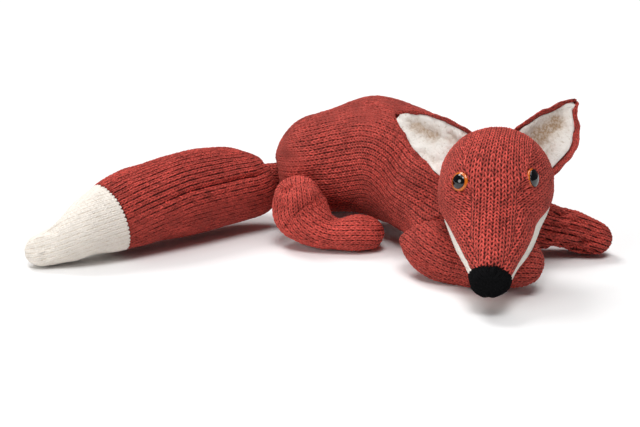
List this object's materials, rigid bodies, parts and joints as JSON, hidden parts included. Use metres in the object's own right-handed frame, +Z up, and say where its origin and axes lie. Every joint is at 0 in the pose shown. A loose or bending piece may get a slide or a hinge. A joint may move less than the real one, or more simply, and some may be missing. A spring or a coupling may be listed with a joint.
{
  "type": "knitted fox soft toy",
  "caption": "Knitted soft toy fox lying on its chest, chin on a crossed foreleg, with a long cream-tipped tail, pointed ears, glossy amber eyes and a head, ears, tail and legs that swing.",
  "frame": {"origin": "middle of the flat under the chest, on the surface that the toy lies on", "axes": "+X from the tail towards the paws, +Y to the fox's far side, +Z up"},
  "size_m": [0.5138, 0.3185, 0.1432],
  "materials": {
    "red_knit": "brick-red stocking-stitch knit",
    "cream_knit": "cream stocking-stitch knit",
    "black_knit": "black stocking-stitch knit",
    "ear_felt": "cream brushed felt",
    "fibre_filling": "white polyester fibre",
    "amber_plastic": "glossy amber",
    "black_plastic": "glossy black",
    "washer_plastic": "white moulded plastic"
  },
  "bodies": {
    "torso": {"body_knit": "red_knit", "body_stuffing": "fibre_filling"},
    "head": {"face_knit": "red_knit", "jaw_knit": "cream_knit", "nose_knit": "black_knit", "head_stuffing": "fibre_filling", "eye_right_iris": "amber_plastic", "eye_right_pupil": "black_plastic", "eye_right_washer": "washer_plastic", "eye_left_iris": "amber_plastic", "eye_left_pupil": "black_plastic", "eye_left_washer": "washer_plastic"},
    "ear_right": {"ear_right_back": "red_knit", "ear_right_lining": "ear_felt"},
    "ear_left": {"ear_left_back": "red_knit", "ear_left_lining": "ear_felt"},
    "foreleg_right": {"foreleg_right_knit": "red_knit", "foreleg_right_stuffing": "fibre_filling"},
    "foreleg_left": {"foreleg_left_knit": "red_knit", "foreleg_left_stuffing": "fibre_filling"},
    "hindleg_right": {"hindleg_right_knit": "red_knit", "hindleg_right_stuffing": "fibre_filling"},
    "hindleg_left": {"hindleg_left_knit": "red_knit", "hindleg_left_stuffing": "fibre_filling"},
    "tail_root": {"tail_neck_knit": "red_knit"},
    "tail": {"tail_knit": "red_knit", "tail_tip_knit": "cream_knit", "tail_stuffing": "fibre_filling"}
  },
  "joints": [
    {"name": "head_nod", "type": "hinge", "parent": "torso", "child": "head", "pos_m": [0.024, -0.062, 0.04502], "axis": [-1, 0, 0], "range_deg": [0, 35]},
    {"name": "ear_right_fold", "type": "hinge", "parent": "head", "child": "ear_right", "pos_m": [0.00993, -0.09071, 0.09721], "axis": [0.5748, 0.0726, 0.8151], "range_deg": [-15, 30], "stiffness_Nm_per_rad": 0.02},
    {"name": "ear_left_fold", "type": "hinge", "parent": "head", "child": "ear_left", "pos_m": [0.07095, -0.09304, 0.10157], "axis": [0.7266, -0.1709, -0.6655], "range_deg": [-15, 30], "stiffness_Nm_per_rad": 0.02},
    {"name": "foreleg_right_swing", "type": "hinge", "parent": "torso", "child": "foreleg_right", "pos_m": [-0.01442, -0.09728, 0.03402], "axis": [0, 1, 0], "range_deg": [0, 90]},
    {"name": "foreleg_left_swing", "type": "hinge", "parent": "torso", "child": "foreleg_left", "pos_m": [0.06622, -0.03792, 0.04402], "axis": [0, 0, 1], "range_deg": [-20, 40]},
    {"name": "hindleg_right_swing", "type": "hinge", "parent": "torso", "child": "hindleg_right", "pos_m": [-0.1173, -0.01704, 0.036], "axis": [0, -0.847, -0.5316], "range_deg": [-60, 70]},
    {"name": "hindleg_left_swing", "type": "hinge", "parent": "torso", "child": "hindleg_left", "pos_m": [-0.10834, 0.07704, 0.036], "axis": [0, -0.847, 0.5316], "range_deg": [-60, 70]},
    {"name": "tail_swing", "type": "hinge", "parent": "torso", "child": "tail_root", "pos_m": [-0.13332, 0.0412, 0.05002], "axis": [0, 0, 1], "range_deg": [-50, 15]},
    {"name": "tail_lift", "type": "hinge", "parent": "tail_root", "child": "tail", "pos_m": [-0.15724, 0.0438, 0.046], "axis": [-0.4802, 0.8772, 0], "range_deg": [0, 45]}
  ]
}
